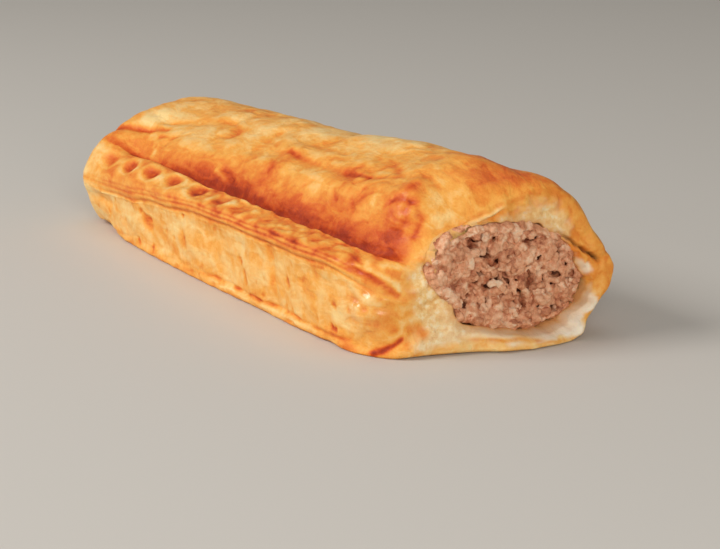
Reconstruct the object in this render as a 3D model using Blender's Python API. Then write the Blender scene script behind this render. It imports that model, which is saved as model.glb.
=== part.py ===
"""Sausage roll, bitten open at one end.

A baked puff-pastry case is wrapped round a run of sausage meat. One long edge of the pastry is pressed down
as a dimpled seam, the baked end is closed, and the bitten end shows the meat inside a torn rim.
Frame: +X along the roll to the bitten end, the seam on the -Y side, +Z up, origin under the middle of the roll.
Lengths below are millimetres until the meshes are made.
"""

import math

import bmesh
import bpy
import numpy as np
from mathutils import Vector, noise

MM = 0.001

# The roll lies between these two places along X. The bitten end is the mean place of its torn rim.
BAKED_END = -76.4
BITTEN_END = 62.6
# What brings the middle of the roll's box to the origin.
TO_MIDDLE = Vector((4.85, -1.62, 0.0))

# How the roll changes along its length. Each station gives x, then the side wall's reach on the seam side,
# the plain side's reach, the crown height, the height of the seam's lower lip, how far the lip stands out, the
# height of the seam's pressed face, the depth of the valley behind it, and the base's reach on the seam side.
STATIONS = (
    (-66.2, 23.0, 23.0, 26.9, 10.7, 0.6, 6.8, 0.3, 19.2),
    (-47.8, 23.7, 23.9, 28.0, 11.8, 0.8, 6.6, 0.8, 22.3),
    (-13.8, 23.9, 24.7, 29.3, 14.7, 1.0, 4.6, 1.8, 23.2),
    (16.6, 23.6, 25.0, 31.3, 15.6, 1.0, 3.8, 1.8, 22.6),
    (32.2, 23.6, 25.4, 32.2, 15.9, 1.0, 3.5, 1.7, 22.6),
    (46.0, 23.4, 25.9, 33.4, 16.1, 0.9, 3.3, 1.7, 21.6),
    (62.6, 22.6, 26.7, 35.6, 14.9, 0.8, 4.0, 1.3, 25.0),
)

# The roll's outline (y, z) at the torn rim, corner for corner the outline that outer_corners gives elsewhere.
RIM_CORNERS = (
    (1.4, 0.0), (-10.1, 0.0), (-16.0, 0.0), (-17.3, 2.0), (-16.4, 6.9), (-16.0, 10.1), (-16.4, 12.1),
    (-16.5, 14.0), (-16.0, 16.0), (-14.9, 18.0), (-13.1, 19.7), (-10.5, 21.1), (-5.9, 23.4), (4.1, 27.4),
    (16.4, 28.8), (24.0, 20.2), (28.4, 12.2), (22.6, 4.4), (17.1, 0.0),
)
# The same corners where the baked end turns in.
BAKED_CORNERS = (
    (1.4, 0.0), (-10.6, 0.0), (-17.4, 0.0), (-21.0, 2.1), (-23.2, 6.4), (-24.1, 9.8), (-24.2, 11.0),
    (-23.8, 12.7), (-22.4, 15.5), (-20.5, 18.0), (-17.8, 20.1), (-14.4, 22.2), (-8.8, 24.7), (3.4, 26.9),
    (13.6, 23.8), (20.8, 17.8), (22.8, 10.1), (20.8, 2.2), (15.2, 0.0),
)
# The outline changes to the rim's from the first place on, and to the baked end's from the second place back.
RIM_BLEND_START = 46.0
BAKED_BLEND_START = -51.5

# Points in each span between one corner of the outline and the next.
POINTS_PER_SPAN = (1, 2, 2, 2, 2, 2, 2, 2, 2, 2, 2, 2, 3, 4, 4, 3, 3, 2, 2)
# Distance between rows of points along the roll.
ROW_SPACING = 1.6

# The baked end turns in over this length, towards a middle at this height, through rings of these sizes.
END_LENGTH = 8.7
END_HEIGHT = 12.4
END_SIZES = (0.12, 0.3, 0.48, 0.64, 0.77, 0.87, 0.94, 0.98)
# How squarely it turns in: the powers of its rounded outline.
END_POWERS = (2.6, 0.47)

# Where the torn rim lies: direction round the meat's middle in degrees from +Y, and the rim's x there.
RIM_PLACES = (
    (10.0, 63.3), (40.0, 62.2), (70.0, 61.5), (100.0, 60.9), (130.0, 60.0), (160.0, 59.2), (190.0, 59.8),
    (215.0, 61.5), (245.0, 64.4), (270.0, 66.2), (300.0, 65.9), (325.0, 64.4), (350.0, 63.5),
)
# The rim's shift is eased in from here along the roll.
RIM_SHIFT_START = 40.5
# From the rim's outer edge to the meat: share of the way across the dough, and share of the way back.
DOUGH_STEPS = ((0.22, -0.06), (0.5, 0.04), (0.8, 0.3), (1.0, 1.0))
# Where the dough meets the meat.
DOUGH_EDGE = 61.1

# The meat's outline at the bite, as a direction in degrees and the distance from its middle.
BITE_MIDDLE = (5.5, 13.3)
BITE_RADII = (
    (0.0, 15.8), (20.0, 14.2), (42.0, 12.0), (63.0, 10.9), (88.0, 10.5), (112.0, 11.6), (137.0, 14.5),
    (160.0, 17.3), (176.0, 16.0), (192.0, 13.7), (212.0, 13.4), (235.0, 11.3), (265.0, 10.3), (300.0, 12.5),
    (325.0, 15.5), (347.0, 18.1),
)
# The meat's oval inside the roll, and where along it the oval starts to change to the outline at the bite.
CORE_MIDDLE = (2.0, 13.8)
CORE_HALF_WIDTH = 16.6
CORE_HALF_HEIGHT = 10.5
CORE_BLEND_START = 31.3
# The meat's two ends, and its gap from the pastry.
MEAT_BAKED_END = -64.4
MEAT_FACE = 60.5
MEAT_GAP = 0.35
# Rows of the meat and its hollow where their outline changes, and in the plain run behind that.
CORE_BLEND_ROWS = 5
CORE_PLAIN_ROWS = 4
# The meat's end and the hollow round it close through rings of these sizes, each this much further on.
CLOSE_SIZES = ((0.92, 1.1), (0.7, 2.0))
# The rings of the meat's broken face, as shares of its outline, and the height of the lumps on it.
FACE_SIZES = (0.95, 0.88, 0.8, 0.72, 0.64, 0.56, 0.48, 0.4, 0.31, 0.22, 0.1)
LUMP_HEIGHT = 1.2
LUMP_SIZE = 2.8
# How far the torn dough is roughened along the roll.
TORN_HEIGHT = 0.9
TORN_SIZE = 3.7

# The seam's pressed dimples: six wide apart from the baked end, then nine close together.
WIDE_DIMPLES = (-59.8, 11.4, 6)
CLOSE_DIMPLES = (6.4, 6.3, 9)
# Radius and depth of the first and the last dimple. Their centres lie this far in, and at this share of
# the face.
DIMPLE_RADIUS = (3.0, 2.1)
DIMPLE_DEPTH = (1.7, 0.5)
DIMPLE_INSET = 2.2
DIMPLE_RISE = 0.76

# Long hollows and folds in the crust: two ends (x, y, z), half-width and depth.
FOLDS = (
    ((-70.8, -15.6, 20.2), (-58.9, -11.5, 22.8), 1.6, 0.8),
    ((-58.9, -8.7, 23.7), (-35.0, -2.8, 27.0), 1.5, 0.5),
    ((-47.8, -13.3, 21.2), (-45.8, -9.1, 23.4), 1.3, 0.5),
    ((-13.2, -8.6, 25.2), (27.6, -8.6, 27.3), 1.8, 0.5),
    ((-3.7, -3.4, 28.5), (49.7, 1.7, 31.6), 2.2, 0.4),
    ((4.9, -1.8, 28.5), (3.9, 12.0, 30.0), 2.4, 0.7),
    ((-73.6, -22.1, 7.9), (-76.4, 0.0, 8.6), 1.6, 1.2),
    ((-76.4, 0.0, 8.6), (-73.6, 22.1, 8.3), 1.6, 1.2),
    ((-73.6, -22.1, 7.9), (-56.1, -23.5, 7.3), 1.3, 0.6),
    ((-36.8, -23.7, 7.2), (-34.0, -23.3, 6.4), 1.2, 0.7),
    ((-16.9, -24.1, 8.5), (-16.2, -24.1, 6.8), 1.3, 0.6),
    ((22.4, -23.5, 13.8), (22.4, -23.6, 7.4), 1.3, 0.5),
    ((57.5, -18.9, 0.9), (61.6, -12.4, 4.8), 1.4, 0.8),
)
# Blisters and bumps: centre (x, y, z), radius and height.
BUMPS = (
    ((-18.4, 4.6, 29.4), 8.3, 0.6),
    ((52.4, -11.4, 23.9), 4.6, 1.1),
    ((49.7, -7.9, 28.5), 2.6, 0.7),
    ((54.7, -20.8, 8.6), 5.5, 1.1),
    ((22.1, 14.7, 28.5), 10.1, 0.6),
    ((-41.4, 13.8, 24.8), 11.0, 0.6),
    ((36.8, 24.8, 12.9), 10.1, 0.8),
    ((-11.0, 24.8, 12.0), 11.0, 0.7),
    ((31.3, -23.9, 8.3), 6.4, 0.6),
    ((-53.4, -23.0, 11.0), 7.4, 0.5),
)
# The crust's soft waves, which fade out towards the base.
WAVE_SIZE = 14.0
WAVE_HEIGHT = 0.8
WAVE_FADE = 3.7


def ease(t):
    """0 below 0, 1 above 1, and an even change between."""
    t = min(max(t, 0.0), 1.0)
    return t * t * (3.0 - 2.0 * t)


def through(before, start, end, after, t):
    """The value a share t of the way from start to end on the smooth curve through all four."""
    third = 3.0 * (start - end) + after - before
    second = 2.0 * before - 5.0 * start + 4.0 * end - after
    return start + 0.5 * t * (end - before + t * (second + t * third))


def station_values(x):
    """The values of STATIONS at x."""
    last = len(STATIONS) - 1
    x = min(max(x, STATIONS[0][0]), STATIONS[last][0])
    i = max(k for k in range(last) if STATIONS[k][0] <= x)
    t = (x - STATIONS[i][0]) / (STATIONS[i + 1][0] - STATIONS[i][0])
    near = (np.array(STATIONS[min(max(i + k, 0), last)][1:]) for k in (-1, 0, 1, 2))
    return through(*near, t)


def around(keys, degrees):
    """The value at a direction on a smooth closed curve through keys, each a direction and a value."""
    count = len(keys)
    degrees = (degrees - keys[0][0]) % 360.0 + keys[0][0]
    i = max(k for k in range(count) if keys[k][0] <= degrees)
    span = (keys[(i + 1) % count][0] - keys[i][0]) % 360.0
    return through(*(keys[(i + k) % count][1] for k in (-1, 0, 1, 2)), (degrees - keys[i][0]) / span)


def outer_corners(x):
    """The corners (y, z) of the roll's outline at x, from the middle of the base round by the seam."""
    side, plain, crown, seam, lip, face, valley, foot = station_values(x)
    corners = (
        (1.4, 0.0),
        (-0.6 * foot, 0.0),
        (-foot, 0.0),
        (-side + 0.5, 2.0),
        (-side, 0.5 * seam),
        (-side + 0.3, seam - 1.7),
        (-side - lip, seam),
        (-side - 0.5 * lip, seam + 0.42 * face),
        (-side + 1.8, seam + 0.72 * face),
        (-side + 4.4, seam + face),
        (-side + 7.0, seam + 0.96 * face - valley),
        (-side + 9.8, seam + 1.12 * face + 0.1 * (crown - seam)),
        (-0.4 * side, 0.86 * crown),
        (0.15 * plain, crown),
        (0.6 * plain, 0.88 * crown),
        (0.91 * plain, 0.68 * crown),
        (plain, 0.38 * crown),
        (0.93 * plain, 2.2),
        (0.7 * plain, 0.0),
    )
    rim_share = max((x - RIM_BLEND_START) / (BITTEN_END - RIM_BLEND_START), 0.0)
    rim_share = 1.0 - math.cos(rim_share * math.pi / 2.0)
    baked_share = ease((BAKED_BLEND_START - x) / (BAKED_BLEND_START - BAKED_END - END_LENGTH))
    plain_share = 1.0 - rim_share - baked_share
    at_rim = np.array(RIM_CORNERS) * rim_share
    at_baked_end = np.array(BAKED_CORNERS) * baked_share
    return np.array(corners) * plain_share + at_rim + at_baked_end


def ring_through(corners):
    """Points on a smooth closed curve through the corners, as many in each span as POINTS_PER_SPAN says."""
    ring = []
    count = len(corners)
    for i, steps in enumerate(POINTS_PER_SPAN):
        near = [corners[(i + k) % count] for k in (-1, 0, 1, 2)]
        flat = near[1][1] == 0.0 and near[2][1] == 0.0
        for step in range(steps):
            y, z = through(*near, step / steps)
            ring.append((y, 0.0 if flat else max(z, 0.0)))
    return ring


def beside_line(point, start, end):
    """Distance of a point from the line between start and end."""
    run = end - start
    share = min(max((point - start).dot(run) / run.length_squared, 0.0), 1.0)
    return (point - start - run * share).length


def dimples():
    """Each dimple's centre, radius and depth."""
    made = []
    for first, pitch, count in (WIDE_DIMPLES, CLOSE_DIMPLES):
        for i in range(count):
            x = first + pitch * i
            side, _, _, seam, _, face, _, _ = station_values(x)
            along = (x - WIDE_DIMPLES[0]) / (BITTEN_END - WIDE_DIMPLES[0])
            centre = Vector((x, -side + DIMPLE_INSET, seam + DIMPLE_RISE * face))
            radius = DIMPLE_RADIUS[0] + (DIMPLE_RADIUS[1] - DIMPLE_RADIUS[0]) * along
            depth = DIMPLE_DEPTH[0] + (DIMPLE_DEPTH[1] - DIMPLE_DEPTH[0]) * along
            made.append((centre, radius, depth))
    return made


DIMPLES = dimples()


def relief(point):
    """How far the crust stands out from its plain form at a point."""
    height = WAVE_HEIGHT * noise.noise(point / WAVE_SIZE)
    for start, end, half_width, depth in FOLDS:
        height -= depth * math.exp(-((beside_line(point, Vector(start), Vector(end)) / half_width) ** 2))
    for centre, radius, rise in BUMPS:
        height += rise * math.exp(-(((point - Vector(centre)).length / radius) ** 2))
    for centre, radius, depth in DIMPLES:
        height -= depth * math.exp(-(((point - centre).length / radius) ** 4))
    return height * ease(point.z / WAVE_FADE)


def with_relief(rows):
    """Rows of points moved out or in by the relief, square to the surface."""
    moved = []
    for i, row in enumerate(rows):
        before = rows[max(i - 1, 0)]
        after = rows[min(i + 1, len(rows) - 1)]
        new_row = []
        for k, point in enumerate(row):
            round_run = row[(k + 1) % len(row)] - row[k - 1]
            outwards = (after[k] - before[k]).cross(round_run).normalized()
            new_row.append(point + outwards * relief(point))
        moved.append(new_row)
    return moved


def outer_rows():
    """Rows of points over the outside of the case, from the baked end to the torn rim."""
    rows = []
    start = BAKED_END + END_LENGTH
    ring = ring_through(outer_corners(start))
    for size in END_SIZES:
        x = start - END_LENGTH * (1.0 - size ** END_POWERS[0]) ** END_POWERS[1]
        rows.append([Vector((x, y * size, END_HEIGHT + (z - END_HEIGHT) * size)) for y, z in ring])
    count = round((BITTEN_END - start) / ROW_SPACING)
    for i in range(count + 1):
        x = start + (BITTEN_END - start) * i / count
        share = ease((x - RIM_SHIFT_START) / (BITTEN_END - RIM_SHIFT_START))
        row = []
        for y, z in ring_through(outer_corners(x)):
            degrees = math.degrees(math.atan2(z - BITE_MIDDLE[1], y - BITE_MIDDLE[0]))
            row.append(Vector((x + (around(RIM_PLACES, degrees) - BITTEN_END) * share, y, z)))
        rows.append(row)
    return with_relief(rows)


def core_point(x, degrees, size, gap):
    """The point (y, z) on the meat's outline at x in a direction, held back by gap, at a share of its size."""
    angle = math.radians(degrees)
    share = ease((x - CORE_BLEND_START) / (DOUGH_EDGE - CORE_BLEND_START))
    oval = CORE_HALF_WIDTH * CORE_HALF_HEIGHT / math.hypot(
        CORE_HALF_HEIGHT * math.cos(angle), CORE_HALF_WIDTH * math.sin(angle)
    )
    radius = size * (oval * (1.0 - share) + around(BITE_RADII, degrees) * share - gap)
    y = CORE_MIDDLE[0] + (BITE_MIDDLE[0] - CORE_MIDDLE[0]) * share + radius * math.cos(angle)
    z = CORE_MIDDLE[1] + (BITE_MIDDLE[1] - CORE_MIDDLE[1]) * share + radius * math.sin(angle)
    return y, z


def core_row(x, directions, size=1.0, gap=0.0):
    return [Vector((x, *core_point(x, degrees, size, gap))) for degrees in directions]


def core_places():
    """Places along the core between its two ends, from the bite inwards."""
    places = []
    for first, last, count in (
        (DOUGH_EDGE, CORE_BLEND_START, CORE_BLEND_ROWS),
        (CORE_BLEND_START, MEAT_BAKED_END, CORE_PLAIN_ROWS),
    ):
        places.extend(first + (last - first) * i / count for i in range(1, count + 1))
    return places[:-1]


def unevenness(point, size):
    """An uneven height between about -1 and 1 that depends on y and z alone."""
    return noise.noise(Vector((3.0, point.y / size, point.z / size)))


def hollow_rows(rim, directions):
    """Rows from the torn rim across the dough, then along the hollow to its closed end."""
    rows = []
    edge = core_row(DOUGH_EDGE, directions)
    for across, back in DOUGH_STEPS:
        row = []
        for outer, inner in zip(rim, edge):
            point = outer.lerp(inner, across)
            point.x = outer.x + (inner.x - outer.x) * back
            point.x += TORN_HEIGHT * (1.0 - across) * unevenness(point, TORN_SIZE)
            row.append(point)
        rows.append(row)
    closed_end = MEAT_BAKED_END - MEAT_GAP
    for x in (*core_places(), closed_end):
        rows.append(core_row(x, directions))
    for size, further in CLOSE_SIZES:
        rows.append(core_row(closed_end - further, directions, size))
    return rows


def meat_rows(directions):
    """Rows of the meat from its end inside the roll to the middle of its broken face."""
    rows = []
    for size, further in reversed(CLOSE_SIZES):
        rows.append(core_row(MEAT_BAKED_END - further, directions, size, MEAT_GAP))
    for x in (MEAT_BAKED_END, *reversed(core_places()), MEAT_FACE):
        rows.append(core_row(x, directions, 1.0, MEAT_GAP))
    for size in FACE_SIZES:
        row = core_row(MEAT_FACE, directions, size, MEAT_GAP)
        for point in row:
            point.x += LUMP_HEIGHT * unevenness(point, LUMP_SIZE)
        rows.append(row)
    return rows


def material(name, colour, roughness):
    made = bpy.data.materials.new(name)
    made.use_nodes = True
    shader = made.node_tree.nodes["Principled BSDF"]
    shader.inputs["Base Color"].default_value = (*colour, 1.0)
    shader.inputs["Roughness"].default_value = roughness
    shader.inputs["Metallic"].default_value = 0.0
    return made


def solid(name, rows, finish):
    """One closed object through rows of points, each row with as many points as the next."""
    mesh = bmesh.new()
    made = [[mesh.verts.new((point + TO_MIDDLE) * MM) for point in row] for row in rows]
    for lower, upper in zip(made, made[1:]):
        for k in range(len(lower)):
            j = (k + 1) % len(lower)
            mesh.faces.new((lower[k], lower[j], upper[j], upper[k]))
    for ends in (made[0], made[-1]):
        middle = mesh.verts.new(sum((corner.co for corner in ends), Vector()) / len(ends))
        for k, corner in enumerate(ends):
            mesh.faces.new((corner, ends[(k + 1) % len(ends)], middle))
    bmesh.ops.recalc_face_normals(mesh, faces=mesh.faces)
    data = bpy.data.meshes.new(name)
    mesh.to_mesh(data)
    mesh.free()
    data.shade_smooth()
    data.materials.append(finish)
    made_object = bpy.data.objects.new(name, data)
    bpy.context.scene.collection.objects.link(made_object)


for old in list(bpy.data.objects):
    bpy.data.objects.remove(old, do_unlink=True)

crust = outer_rows()
rim_directions = [
    math.degrees(math.atan2(point.z - BITE_MIDDLE[1], point.y - BITE_MIDDLE[0])) for point in crust[-1]
]
baked = material("baked_pastry", (0.74, 0.37, 0.11), 0.4)
cooked = material("cooked_meat", (0.37, 0.2, 0.13), 0.6)
solid("pastry", crust + hollow_rows(crust[-1], rim_directions), baked)
solid("sausage_meat", meat_rows(rim_directions), cooked)
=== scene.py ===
"""The looks of a bitten sausage roll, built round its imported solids.

Lengths in the sections below are millimetres along the roll's own axes, and become metres when a mesh is made.
"""

import math
import random

import bmesh
import bpy
import mathutils
import numpy as np
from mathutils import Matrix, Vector, noise


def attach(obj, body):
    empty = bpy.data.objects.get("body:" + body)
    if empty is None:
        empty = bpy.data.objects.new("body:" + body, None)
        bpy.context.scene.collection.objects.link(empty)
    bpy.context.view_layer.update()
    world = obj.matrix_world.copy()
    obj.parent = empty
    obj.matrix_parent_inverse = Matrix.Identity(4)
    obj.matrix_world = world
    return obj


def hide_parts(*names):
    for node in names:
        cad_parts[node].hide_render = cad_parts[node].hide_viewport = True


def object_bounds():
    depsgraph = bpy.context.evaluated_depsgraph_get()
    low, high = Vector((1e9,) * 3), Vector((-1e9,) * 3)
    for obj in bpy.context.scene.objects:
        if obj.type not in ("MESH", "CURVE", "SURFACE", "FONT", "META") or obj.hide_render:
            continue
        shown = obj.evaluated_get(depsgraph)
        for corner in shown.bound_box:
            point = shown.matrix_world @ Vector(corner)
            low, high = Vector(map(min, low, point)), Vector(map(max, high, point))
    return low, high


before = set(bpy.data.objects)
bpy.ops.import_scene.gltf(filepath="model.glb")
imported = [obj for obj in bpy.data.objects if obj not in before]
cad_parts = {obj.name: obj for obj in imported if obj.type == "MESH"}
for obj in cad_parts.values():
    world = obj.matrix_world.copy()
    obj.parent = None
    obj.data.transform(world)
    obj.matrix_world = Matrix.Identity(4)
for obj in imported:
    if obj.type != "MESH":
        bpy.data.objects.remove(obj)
cad_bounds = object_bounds()

# The camera looks down on the bitten end from the seam's side, at the photograph's angle.
# The photograph is 720 pixels wide, and its focal length comes to 2300 of them.
PHOTO_WIDTH = 720.0
FOCAL_PIXELS = 2300.0
SENSOR_WIDTH = 36.0
CAMERA_PLACE = Vector((409.08, -222.57, 119.6)) * 0.001
CAMERA_TURN = math.radians(29.6)
CAMERA_DIP = math.radians(14.5)
camera_data = bpy.data.cameras.new("camera")
camera_data.sensor_width = SENSOR_WIDTH
camera_data.lens = SENSOR_WIDTH * FOCAL_PIXELS / PHOTO_WIDTH
camera_data.clip_start = 0.01
camera = bpy.data.objects.new("camera", camera_data)
bpy.context.scene.collection.objects.link(camera)
camera.location = CAMERA_PLACE
looking = Vector(
    (-math.cos(CAMERA_TURN) * math.cos(CAMERA_DIP), math.sin(CAMERA_TURN) * math.cos(CAMERA_DIP), -math.sin(CAMERA_DIP))
)
camera.rotation_euler = looking.to_track_quat("-Z", "Y").to_euler()
bpy.context.scene.camera = camera


# The pastry case is one sheet of laminated dough, folded over the meat, pressed along its seam, washed with egg and
# baked. The crust is golden where it is thin and high and red-brown where the wash has pooled; the bite has torn the
# case open, so that its pale inside shows.
MM = 0.001
TO_MIDDLE = np.array((4.85, -1.62, 0.0))
BAKED_END = -76.4
BITTEN_END = 62.6
# Each station: x, reach of the seam's side, reach of the plain side, crown height, height of the seam's lip, how far
# the lip stands out, height of the seam's face, depth of the valley behind it, and reach of the flat base.
STATIONS = (
    (-66.2, 23.0, 23.0, 26.9, 10.7, 0.6, 6.8, 0.3, 19.2),
    (-47.8, 23.7, 23.9, 28.0, 11.8, 0.8, 6.6, 0.8, 22.3),
    (-13.8, 23.9, 24.7, 29.3, 14.7, 1.0, 4.6, 1.8, 23.2),
    (16.6, 23.6, 25.0, 31.3, 15.6, 1.0, 3.8, 1.8, 22.6),
    (32.2, 23.6, 25.4, 32.2, 15.9, 1.0, 3.5, 1.7, 22.6),
    (46.0, 23.4, 25.9, 33.4, 16.1, 0.9, 3.3, 1.7, 21.6),
    (62.6, 22.6, 26.7, 35.6, 14.9, 0.8, 4.0, 1.3, 25.0),
)
RIM_CORNERS = (
    (1.4, 0.0), (-10.1, 0.0), (-16.0, 0.0), (-17.3, 2.0), (-16.4, 6.9), (-16.0, 10.1), (-16.4, 12.1),
    (-16.5, 14.0), (-16.0, 16.0), (-14.9, 18.0), (-13.1, 19.7), (-10.5, 21.1), (-5.9, 23.4), (4.1, 27.4),
    (16.4, 28.8), (24.0, 20.2), (28.4, 12.2), (22.6, 4.4), (17.1, 0.0),
)
BAKED_CORNERS = (
    (1.4, 0.0), (-10.6, 0.0), (-17.4, 0.0), (-21.0, 2.1), (-23.2, 6.4), (-24.1, 9.8), (-24.2, 11.0),
    (-23.8, 12.7), (-22.4, 15.5), (-20.5, 18.0), (-17.8, 20.1), (-14.4, 22.2), (-8.8, 24.7), (3.4, 26.9),
    (13.6, 23.8), (20.8, 17.8), (22.8, 10.1), (20.8, 2.2), (15.2, 0.0),
)
RIM_BLEND_START = 46.0
BAKED_BLEND_START = -51.5
END_LENGTH = 8.7
END_HEIGHT = 12.4
RIM_PLACES = (
    (10.0, 63.3), (40.0, 62.2), (70.0, 61.5), (100.0, 60.9), (130.0, 60.0), (160.0, 59.2), (190.0, 59.8),
    (215.0, 61.5), (245.0, 64.4), (270.0, 66.2), (300.0, 65.9), (325.0, 64.4), (350.0, 63.5),
)
RIM_SHIFT_START = 40.5
DOUGH_EDGE = 61.1
BITE_MIDDLE = (5.5, 13.3)
BITE_RADII = (
    (0.0, 15.8), (20.0, 14.2), (42.0, 12.0), (63.0, 10.9), (88.0, 10.5), (112.0, 11.6), (137.0, 14.5),
    (160.0, 17.3), (176.0, 16.0), (192.0, 13.7), (212.0, 13.4), (235.0, 11.3), (265.0, 10.3), (300.0, 12.5),
    (325.0, 15.5), (347.0, 18.1),
)
CORE_MIDDLE = (2.0, 13.8)
CORE_HALF_WIDTH = 16.6
CORE_HALF_HEIGHT = 10.5
CORE_BLEND_START = 31.3
MEAT_BAKED_END = -64.4

# The mesh is this fine over the crust, and coarser under the base.
FINE = 0.45
SPAN_STEPS = (6, 4, 6, 13, 12, 7, 8, 8, 9, 10, 10, 15, 25, 24, 20, 18, 18, 10, 8)


def through(before, start, end, after, t):
    return start + 0.5 * t * (
        end - before + t * (2.0 * before - 5.0 * start + 4.0 * end - after + t * (3.0 * (start - end) + after - before))
    )


def ease(t):
    t = np.clip(t, 0.0, 1.0)
    return t * t * (3.0 - 2.0 * t)


def smooth_stations(x):
    """The values of STATIONS at every x, one row each."""
    keys = np.array(STATIONS)
    last = len(keys) - 1
    x = np.clip(x, keys[0, 0], keys[-1, 0])
    i = np.clip(np.searchsorted(keys[:, 0], x, side="right") - 1, 0, last - 1)
    t = ((x - keys[i, 0]) / (keys[i + 1, 0] - keys[i, 0]))[:, None]
    near = (keys[np.clip(i + k, 0, last), 1:] for k in (-1, 0, 1, 2))
    return through(*near, t)


def around(keys, degrees):
    """The values at directions on a smooth closed curve through keys."""
    places = np.array([key[0] for key in keys])
    values = np.array([key[1] for key in keys])
    count = len(keys)
    degrees = (degrees - places[0]) % 360.0 + places[0]
    i = np.searchsorted(places, degrees, side="right") - 1
    span = (places[(i + 1) % count] - places[i]) % 360.0
    return through(*(values[(i + k) % count] for k in (-1, 0, 1, 2)), (degrees - places[i]) / span)


def outer_corners(x):
    side, plain, crown, seam, lip, face, valley, foot = smooth_stations(x).T
    zero = np.zeros_like(x)
    corners = np.array((
        (zero + 1.4, zero), (-0.6 * foot, zero), (-foot, zero), (-side + 0.5, zero + 2.0), (-side, 0.5 * seam),
        (-side + 0.3, seam - 1.7), (-side - lip, seam), (-side - 0.5 * lip, seam + 0.42 * face),
        (-side + 1.8, seam + 0.72 * face), (-side + 4.4, seam + face), (-side + 7.0, seam + 0.96 * face - valley),
        (-side + 9.8, seam + 1.12 * face + 0.1 * (crown - seam)), (-0.4 * side, 0.86 * crown),
        (0.15 * plain, crown), (0.6 * plain, 0.88 * crown), (0.91 * plain, 0.68 * crown), (plain, 0.38 * crown),
        (0.93 * plain, zero + 2.2), (0.7 * plain, zero),
    )).transpose(2, 0, 1)
    rim_share = np.clip((x - RIM_BLEND_START) / (BITTEN_END - RIM_BLEND_START), 0.0, 1.0)
    rim_share = (1.0 - np.cos(rim_share * math.pi / 2.0))[:, None, None]
    baked_share = ease((BAKED_BLEND_START - x) / (BAKED_BLEND_START - BAKED_END - END_LENGTH))[:, None, None]
    return corners * (1.0 - rim_share - baked_share) + np.array(RIM_CORNERS) * rim_share + (
        np.array(BAKED_CORNERS) * baked_share
    )


def rings_through(corners):
    """For each row of corners, the points on the smooth closed curve through them, and each point's corner number."""
    count = corners.shape[1]
    points = []
    numbers = []
    for i, steps in enumerate(SPAN_STEPS):
        near = [corners[:, (i + k) % count] for k in (-1, 0, 1, 2)]
        flat = corners[0, i, 1] == 0.0 and corners[0, (i + 1) % count, 1] == 0.0
        for step in range(steps):
            point = through(*near, step / steps)
            point[:, 1] = 0.0 if flat else np.maximum(point[:, 1], 0.0)
            points.append(point)
            numbers.append(i + step / steps)
    return np.array(points).transpose(1, 0, 2), np.array(numbers)


def core_outline(x, degrees, size=1.0, gap=0.0):
    """The meat's outline (y, z) at x in the directions given."""
    angle = np.radians(degrees)
    share = ease((x - CORE_BLEND_START) / (DOUGH_EDGE - CORE_BLEND_START))
    oval = CORE_HALF_WIDTH * CORE_HALF_HEIGHT / np.hypot(
        CORE_HALF_HEIGHT * np.cos(angle), CORE_HALF_WIDTH * np.sin(angle)
    )
    radius = size * (oval * (1.0 - share) + around(BITE_RADII, degrees) * share - gap)
    middle = np.array(CORE_MIDDLE) * (1.0 - share) + np.array(BITE_MIDDLE) * share
    return np.stack((middle[0] + radius * np.cos(angle), middle[1] + radius * np.sin(angle)), axis=-1)


def noise_at(points, size, seed=0.0):
    """Smooth noise from about -1 to 1 at every point, with features of this size; size may differ by axis."""
    scaled = points.reshape(-1, 3) / np.array(size) + seed
    return np.array([noise.noise(place) for place in scaled.tolist()]).reshape(points.shape[:-1])


def from_path(points, path):
    """Distance of every point from a path of straight runs."""
    nearest = np.full(points.shape[:-1], np.inf)
    for start, end in zip(path, path[1:]):
        start = np.array(start)
        run = np.array(end) - start
        share = np.clip(((points - start) @ run) / (run @ run), 0.0, 1.0)
        nearest = np.minimum(nearest, np.linalg.norm(points - start - share[..., None] * run, axis=-1))
    return nearest


# Rows of the crust: the baked end's, then those along the roll.
END_ROWS = 26
start_x = BAKED_END + END_LENGTH
row_x = np.linspace(start_x, BITTEN_END, round((BITTEN_END - start_x) / FINE))
rings, corner_number = rings_through(outer_corners(row_x))
along = np.repeat(row_x[:, None], rings.shape[1], axis=1)
direction = np.degrees(np.arctan2(rings[..., 1] - BITE_MIDDLE[1], rings[..., 0] - BITE_MIDDLE[0]))
shift = ease((along - RIM_SHIFT_START) / (BITTEN_END - RIM_SHIFT_START))
along = along + (around(RIM_PLACES, direction.ravel()).reshape(direction.shape) - BITTEN_END) * shift
body_rows = np.concatenate((along[..., None], rings), axis=-1)
end_size = np.sin(np.linspace(0.06, 0.985, END_ROWS) * math.pi / 2.0)
end_x = start_x - END_LENGTH * (1.0 - end_size ** 2.6) ** 0.47
end_rows = np.array([
    np.column_stack((
        np.full(len(corner_number), x),
        rings[0, :, 0] * size,
        END_HEIGHT + (rings[0, :, 1] - END_HEIGHT) * size,
    ))
    for x, size in zip(end_x, end_size)
])
crust = np.concatenate((end_rows, body_rows))
plain_crust = crust
x = crust[..., 0]
corner = np.repeat(corner_number[None], len(crust), axis=0)
# Distance round the outline from the seam's lip, and distance back from the torn rim, in millimetres.
LIP_CORNER = 6.0
steps_round = np.linalg.norm(np.diff(crust, axis=1, prepend=crust[:, :1]), axis=-1)
from_lip = np.cumsum(steps_round, axis=1)
from_lip -= from_lip[:, [int(np.argmin(np.abs(corner_number - LIP_CORNER)))]]
before_rim = np.concatenate((np.full(END_ROWS, 200.0), BITTEN_END - row_x))[:, None] + np.zeros_like(x)
bite_direction = np.degrees(np.arctan2(crust[..., 2] - BITE_MIDDLE[1], crust[..., 1] - BITE_MIDDLE[0])) % 360.0


def share_by(keys, values):
    """Values read off a table of (place, value) keys by straight lines."""
    return np.interp(values, [key[0] for key in keys], [key[1] for key in keys])


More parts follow.
